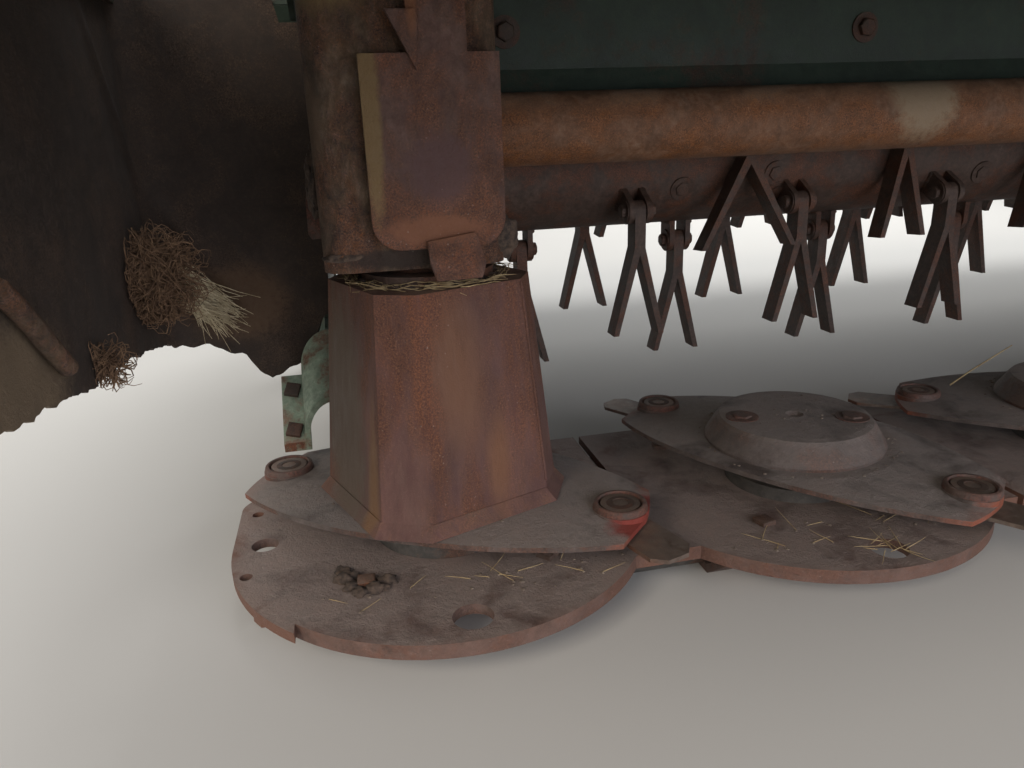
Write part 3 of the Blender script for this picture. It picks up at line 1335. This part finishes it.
def strand(start, heading, length, steps, bend, chance, home=None, reach=0.0):
    """A tapering strand. With a home, it turns back when it strays further than its reach."""
    way, place = heading.normalized(), start.copy()
    line = [(start, 0.7)]
    for i in range(steps):
        way += Vector([chance.uniform(-bend, bend) for axis in range(3)])
        if home and (place - home).length > reach * MM:
            way += (home - place).normalized() * 0.9
        way.normalize()
        place = place + way * (length * MM / steps)
        line.append((place, 1.0 - 0.65 * (i + 1) / steps))
    return line


def lump(place, size, seed, rough=0.25, detail=4):
    """A rough ball with its three half sizes in mm."""
    alone()
    bpy.ops.mesh.primitive_ico_sphere_add(subdivisions=detail, radius=1)
    ball = bpy.context.object
    for vertex in ball.data.vertices:
        at = vertex.co
        swell = 1 + rough * (noise.noise(at * 1.7 + Vector((seed, 0, 0)))
                             + 0.5 * noise.noise(at * 5 + Vector((0, seed, 0))))
        vertex.co = Vector((at.x * size[0], at.y * size[1], at.z * size[2])) * swell * MM
    ball.location = place
    return ball


# %% The ball of grass in the curtain's corner
chance = random.Random(5)
WALL_OUT = 277
BALL = from_first(-262, 102, 314)
BALL_HALF = Vector((20, 38, 36))
BALL_STRANDS, BALL_REACH = 560, 46


def kept_inside(line):
    """Keeps a strand on the inner side of the left curtain."""
    wall = outside(-1, WALL_OUT, 0, 0).x
    return [(Vector((max(place.x, wall), place.y, place.z)), swell) for place, swell in line]


settle(lump(BALL, [0.8 * half for half in BALL_HALF], seed=3), "grass_ball_core", brown_grass,
       "frame", 80)
ball = []
for i in range(BALL_STRANDS):
    way = any_way(chance)
    start = BALL + Vector([w * half * 0.85 for w, half in zip(way, BALL_HALF)]) * MM
    around = way.cross(any_way(chance)) + way * 0.3 + Vector((0, 0, -0.25))
    ball.append(kept_inside(strand(start, around, chance.uniform(30, 80), steps=8, bend=0.3,
                                   chance=chance, home=BALL, reach=BALL_REACH)))
settle(drawn(ball, radius=0.75, resolution=0), "grass_ball", brown_grass, "frame",
       80)
print("strands in the ball:", len(ball))

# %% Its bleached tail, and a small clump on the hem
TAIL_STRANDS, HEM_STRANDS = 230, 150
HEM_CLUMP, HEM_REACH = from_first(-271, -72, 272), 18
tail = []
for i in range(TAIL_STRANDS):
    start = from_first(chance.uniform(-258, -244), chance.uniform(120, 186),
                       chance.uniform(278, 318))
    target = from_first(chance.uniform(-232, -190), chance.uniform(184, 188),
                        chance.uniform(222, 262))
    way = target - start
    tail.append(strand(start, way, way.length / MM * chance.uniform(0.55, 1.1), steps=7,
                       bend=0.12, chance=chance))
settle(drawn(tail, radius=0.8, resolution=0), "bleached_grass_tail", pale_grass, "frame",
       80)
small = []
for i in range(HEM_STRANDS):
    start = HEM_CLUMP + any_way(chance) * 9 * MM
    small.append(kept_inside(strand(start, any_way(chance) + Vector((0, 0.3, -0.3)),
                                    chance.uniform(14, 40), steps=6, bend=0.35, chance=chance,
                                    home=HEM_CLUMP, reach=HEM_REACH)))
settle(drawn(small, radius=0.7, resolution=0), "grass_on_hem", brown_grass, "frame",
       80)
print("strands in the tail and on the hem:", len(tail) + len(small))

# %% Chaff and debris on the turret's rim
HUB = disc_axis(1)
RIM_Z = BOX["turret_1"][1].z
CHAFF_STRANDS, CRUMBS_ON_RIM = 150, 26
# chaff further out than this passes under the shroud's tab, so it lies lower there
TAB_REACH, TAB_CLEAR = 66, 317.5
chaff = []
for i in range(CHAFF_STRANDS):
    a = chance.uniform(0, 2 * math.pi)
    r = chance.uniform(64, 78)
    start = round_from(HUB, r, a, RIM_Z + chance.uniform(0.5, 4) * MM)
    way = Vector((-math.sin(a), math.cos(a), chance.uniform(-0.06, 0.06)))
    chaff.append(strand(start, way * chance.choice((-1, 1)), chance.uniform(14, 44), steps=5,
                        bend=0.22, chance=chance))
for line in chaff:
    for i, (place, swell) in enumerate(line):
        if math.hypot(place.x - HUB.x, place.y - HUB.y) > TAB_REACH * MM:
            line[i] = (Vector((place.x, place.y, min(place.z, TAB_CLEAR * MM))), swell)
settle(drawn(chaff, radius=0.6, resolution=0), "turret_chaff", straw, "cutting_disc_1",
       80)
debris = []
for i in range(CRUMBS_ON_RIM):
    a = i * 0.2417 + chance.uniform(-0.05, 0.05)
    place = round_from(HUB, chance.uniform(58, 64), a, RIM_Z)
    size = [chance.uniform(low, high) for low, high in ((6, 8), (5, 8), (3, 5))]
    debris.append(lump(place, size, seed=i, rough=0.5, detail=3))
settle(joined(*debris), "turret_debris", caked_soil, "cutting_disc_1", 80)
print("turret's rim at", round(RIM_Z, 4), "m, with", len(chaff), "bits of chaff")

# %% Crumbs of soil on the discs


def crumbs(spots, chance, smallest, largest):
    """Small lumps of soil half sunk at the given places."""
    model = lump(Vector((0, 0, 0)), (1, 1, 1), seed=9, rough=0.5, detail=2)
    made = copies(model, [
        Matrix.Translation(spot) @ Matrix.Rotation(chance.uniform(0, 6.28), 4, "Z")
        @ Matrix.Diagonal((size, size * chance.uniform(0.6, 1.0), size * 0.5, 1))
        for spot in spots for size in (chance.uniform(smallest, largest),)])
    bpy.data.objects.remove(model)
    return made


def on_ring(k, low_r, high_r, height, count):
    """Places on the flat round of disc k."""
    made = []
    for i in range(count):
        a, r = chance.uniform(0, 2 * math.pi), chance.uniform(low_r, high_r)
        made.append(round_from(disc_axis(k), r, a, height))
    return made


for k in DISCS:
    spots = on_ring(k, low_r=99, high_r=112, height=DISC_TOP, count=60)
    if f"hub_cap_{k}" in NODES:
        spots += on_ring(k, low_r=12, high_r=70, height=BOX[f"hub_cap_{k}"][1].z, count=22)
    settle(crumbs(spots, chance, smallest=0.8, largest=2.2), f"disc_soil_{k}", soil,
           f"cutting_disc_{k}", 80)
print("crumbs on the last disc:", len(spots))

# %% Crumbs of soil on the plates
TRIES, PLATE_R, HOLE_Y, HOLE_R = 46, 192, -171, 22
plates = []
for k in DISCS:
    for i in range(TRIES):
        x, y = chance.uniform(-186, 186), chance.uniform(-155, -104)
        if math.hypot(x, y) < PLATE_R and math.hypot(x, y - HOLE_Y) > HOLE_R:
            plates.append(disc_axis(k) + Vector((x * MM, y * MM, PLATE_TOP)))
settle(crumbs(plates, chance, smallest=0.9, largest=2.6), "plate_soil", soil, "frame",
       80)
print("crumbs on the plates:", len(plates))

# %% Straws on the plates
lying = []
for spot in plates[::3]:
    a = chance.uniform(0, 6.28)
    lying.append(strand(spot + Vector((0, 0, 0.8 * MM)), Vector((math.cos(a), math.sin(a), 0.015)),
                        chance.uniform(14, 52), steps=5, bend=0.05, chance=chance))
# straws caught in the hole of the second plate
for i in range(14):
    start = from_first(401 + chance.uniform(-14, 14), HOLE_Y + chance.uniform(-12, 12), 50.6)
    a = chance.uniform(0, 6.28)
    lying.append(strand(start, Vector((math.cos(a), math.sin(a), 0.03)), chance.uniform(16, 40),
                        steps=5, bend=0.08, chance=chance))
settle(drawn(lying, radius=0.55, resolution=0), "straw_on_plates", straw, "frame",
       80)
print("straws on the plates:", len(lying))

# %% Dirt packed in corners
# place, half sizes in mm, seed, roughness, detail
PACKED = [((64, -40, 350), (14, 13, 19), 4, 0.3, 4),
          ((-93, -8, 402), (9, 20, 30), 6, 0.4, 4),
          ((-70, -50, 341), (22, 9, 6), 8, 0.3, 4)]
PACKED += [((x, y, 50), (size, size * 0.8, size * 0.7), x, 0.5, 3)
           for x, y, size in ((-104, -84, 11), (-98, -100, 9), (-92, -110, 8), (-78, -108, 10),
                              (-66, -98, 9), (-108, -70, 8))]
packed = [lump(from_first(*place), *shape) for place, *shape in PACKED]
settle(joined(*packed), "packed_dirt", caked_soil, "frame", 80)
print("lumps of packed dirt:", len(packed))

# %% The long stalk that stands off the third disc
LONG_STRAW = (((684, 90, 100), 1.0), ((708, 87, 117), 0.95), ((735, 83, 134), 0.85),
              ((760, 79, 150), 0.6))
stalk = [(from_first(*place), swell) for place, swell in LONG_STRAW]
settle(drawn([stalk], radius=1.1), "long_straw", straw, "cutting_disc_3", 80)
print("the stalk leans over", round((stalk[-1][0] - stalk[0][0]).length, 3), "m")

# %% [markdown]
# ## The hem rods
#
# A short steel rod in each curtain's fold holds it down. The left one shows at the left edge of the
# photograph.

# %% Rods in the curtains
ROD_R, ROD_OUT = 7, 271
ROD_LINE = ((-236, 364), (-215, 348), (-198, 333), (-176, 312), (-155, 293))
rods = [[(outside(side, ROD_OUT, y, z), 1.0) for y, z in ROD_LINE] for side in SIDES]
settle(drawn(rods, ROD_R, resolution=3), "curtain_hem_rods", sleeve_rust, "frame",
       50)
print("hem rods:", len(rods))

# %% Remove the models that were only copied
for model in MODELS:
    bpy.data.objects.remove(model)
print("models removed:", len(MODELS))
